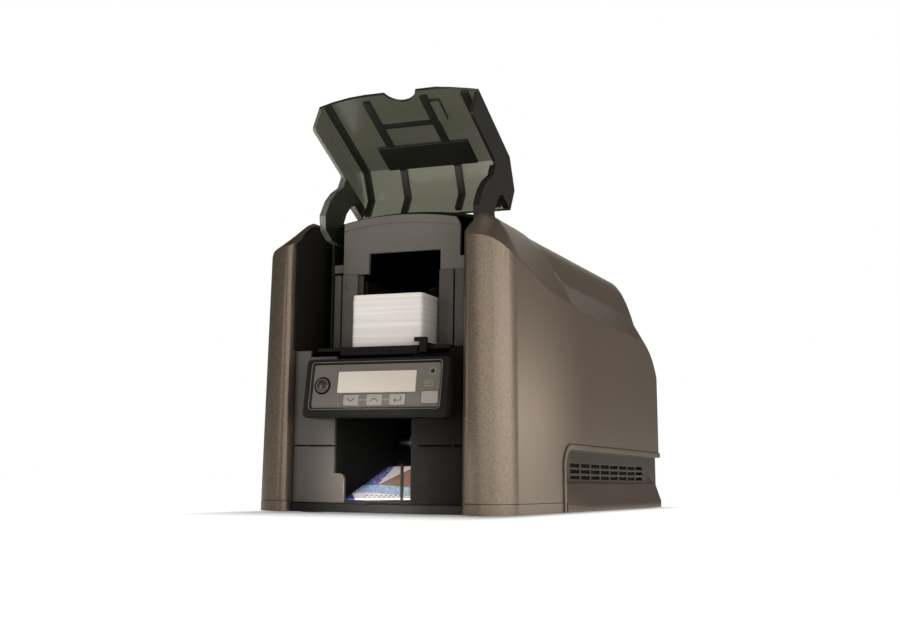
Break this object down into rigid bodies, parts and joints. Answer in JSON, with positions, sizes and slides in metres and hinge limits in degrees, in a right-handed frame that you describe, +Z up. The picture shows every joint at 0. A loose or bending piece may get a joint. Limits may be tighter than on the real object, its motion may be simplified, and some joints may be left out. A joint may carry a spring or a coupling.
{
  "type": "id card printer",
  "caption": "Desktop printer for plastic cards with a hinged hopper door over the card stack, tilted display panel, output bay, sculpted side covers and a rear-hinged top cover.",
  "frame": {"origin": "on the table under the middle of the printer's bounding box", "axes": "+Z up, the front with the display and card bays faces -Y, +X to the right seen from the front"},
  "size_m": [0.1968, 0.443, 0.3003],
  "materials": {
    "cover_paint": "moulded plastic with a satin metallic bronze paint",
    "black_plastic": "fine grained black moulding",
    "charcoal_plastic": "satin dark grey moulding",
    "grey_plastic": "satin grey moulding",
    "door_plastic": "smoked translucent moulding, semi gloss",
    "button_grey": "satin light grey keys",
    "button_metal": "plated dome in a ring",
    "rubber": "matt",
    "steel": "zinc plated sheet and turned steel",
    "roller_rubber": "ground rubber sleeves on steel shafts",
    "card_white": "blank cards, semi gloss",
    "card_print": "printed card, semi gloss",
    "lcd": "reflective display window",
    "board": "circuit board with its components",
    "ribbon": "thin dye film"
  },
  "bodies": {
    "printer": {"base_pan": "black_plastic", "rubber_feet": "rubber", "left_skirt": "cover_paint", "right_skirt": "cover_paint", "left_cover": "cover_paint", "right_cover": "cover_paint", "left_vent_panel": "cover_paint", "right_vent_panel": "cover_paint", "left_liner": "black_plastic", "right_liner": "black_plastic", "hopper_hood": "black_plastic", "rear_cover": "black_plastic", "cover_screws": "steel", "chassis_left": "steel", "chassis_right": "steel", "cross_bars": "steel", "hinge_pins": "steel", "door_pins": "steel", "hopper_frame": "grey_plastic", "hopper_columns": "grey_plastic", "hopper_floor": "black_plastic", "hopper_guides": "black_plastic", "card_stack": "card_white", "card_stop": "black_plastic", "upper_left_fascia": "charcoal_plastic", "upper_right_fascia": "black_plastic", "lower_left_fascia": "charcoal_plastic", "lower_right_fascia": "black_plastic", "output_tray": "black_plastic", "tray_finger": "black_plastic", "printed_card": "card_print", "display_housing": "charcoal_plastic", "display_plate": "grey_plastic", "display_glass": "lcd", "display_board": "board", "ribbon_film": "ribbon", "drive_motor": "steel", "drive_belt": "rubber", "main_board": "board", "rear_ports": "steel", "fan_housing": "black_plastic"},
    "hopper_door": {"hopper_door": "door_plastic", "door_label_plate": "black_plastic"},
    "top_cover": {"top_cover": "black_plastic"},
    "power_button": {"power_button": "button_metal"},
    "button_down": {"button_down": "button_grey"},
    "button_up": {"button_up": "button_grey"},
    "button_enter": {"button_enter": "button_grey"},
    "button_user": {"button_user": "button_grey"},
    "pick_roller": {"pick_roller": "roller_rubber"},
    "feed_roller": {"feed_roller": "roller_rubber"},
    "cleaning_roller": {"cleaning_roller": "roller_rubber"},
    "platen_roller": {"platen_roller": "roller_rubber"},
    "exit_roller": {"exit_roller": "roller_rubber"},
    "ribbon_supply": {"ribbon_supply": "grey_plastic"},
    "ribbon_takeup": {"ribbon_takeup": "grey_plastic"},
    "motor_pulley": {"motor_pulley": "steel"},
    "printhead": {"printhead": "black_plastic", "printhead_bracket": "steel"},
    "fan_rotor": {"fan_rotor": "black_plastic"}
  },
  "joints": [
    {"name": "hopper_door_hinge", "type": "hinge", "parent": "printer", "child": "hopper_door", "pos_m": [0, -0.1405, 0.199], "axis": [1, 0, 0], "range_deg": [0, 117.4]},
    {"name": "top_cover_hinge", "type": "hinge", "parent": "printer", "child": "top_cover", "pos_m": [0, 0.1955, 0.1865], "axis": [-1, 0, 0], "range_deg": [0, 75]},
    {"name": "printhead_lift", "type": "hinge", "parent": "printer", "child": "printhead", "pos_m": [0, 0.0355, 0.127], "axis": [-1, 0, 0], "range_deg": [0, 4]},
    {"name": "power_button_press", "type": "slide", "parent": "printer", "child": "power_button", "axis": [0, 0.988, -0.1547], "range_m": [0, 0.0008], "stiffness_N_per_m": 200, "springref_m": -0.001},
    {"name": "button_down_press", "type": "slide", "parent": "printer", "child": "button_down", "axis": [0, 0.988, -0.1547], "range_m": [0, 0.0008], "stiffness_N_per_m": 200, "springref_m": -0.001},
    {"name": "button_up_press", "type": "slide", "parent": "printer", "child": "button_up", "axis": [0, 0.988, -0.1547], "range_m": [0, 0.0008], "stiffness_N_per_m": 200, "springref_m": -0.001},
    {"name": "button_enter_press", "type": "slide", "parent": "printer", "child": "button_enter", "axis": [0, 0.988, -0.1547], "range_m": [0, 0.0008], "stiffness_N_per_m": 200, "springref_m": -0.001},
    {"name": "button_user_press", "type": "slide", "parent": "printer", "child": "button_user", "axis": [0, 0.988, -0.1547], "range_m": [0, 0.0008], "stiffness_N_per_m": 200, "springref_m": -0.001},
    {"name": "pick_roller_spin", "type": "hinge", "parent": "printer", "child": "pick_roller", "pos_m": [0, -0.1325, 0.1056], "axis": [1, 0, 0], "continuous": true},
    {"name": "feed_roller_spin", "type": "hinge", "parent": "printer", "child": "feed_roller", "pos_m": [0, -0.0805, 0.104], "axis": [1, 0, 0], "continuous": true},
    {"name": "cleaning_roller_spin", "type": "hinge", "parent": "printer", "child": "cleaning_roller", "pos_m": [0, -0.0525, 0.104], "axis": [1, 0, 0], "continuous": true},
    {"name": "platen_roller_spin", "type": "hinge", "parent": "printer", "child": "platen_roller", "pos_m": [0, -0.0005, 0.104], "axis": [1, 0, 0], "continuous": true},
    {"name": "exit_roller_spin", "type": "hinge", "parent": "printer", "child": "exit_roller", "pos_m": [0, -0.0925, 0.052], "axis": [1, 0, 0], "continuous": true},
    {"name": "ribbon_supply_spin", "type": "hinge", "parent": "printer", "child": "ribbon_supply", "pos_m": [0, -0.0265, 0.166], "axis": [1, 0, 0], "continuous": true},
    {"name": "ribbon_takeup_spin", "type": "hinge", "parent": "printer", "child": "ribbon_takeup", "pos_m": [0, 0.0315, 0.166], "axis": [1, 0, 0], "continuous": true},
    {"name": "motor_pulley_spin", "type": "hinge", "parent": "printer", "child": "motor_pulley", "pos_m": [0, -0.0005, 0.058], "axis": [1, 0, 0], "continuous": true},
    {"name": "fan_spin", "type": "hinge", "parent": "printer", "child": "fan_rotor", "pos_m": [0.022, 0.2155, 0.092], "axis": [0, 1, 0], "continuous": true}
  ],
  "couplings": [
    {"joint": "feed_roller_spin", "follows": "platen_roller_spin", "ratio": 1},
    {"joint": "motor_pulley_spin", "follows": "platen_roller_spin", "ratio": 1}
  ]
}
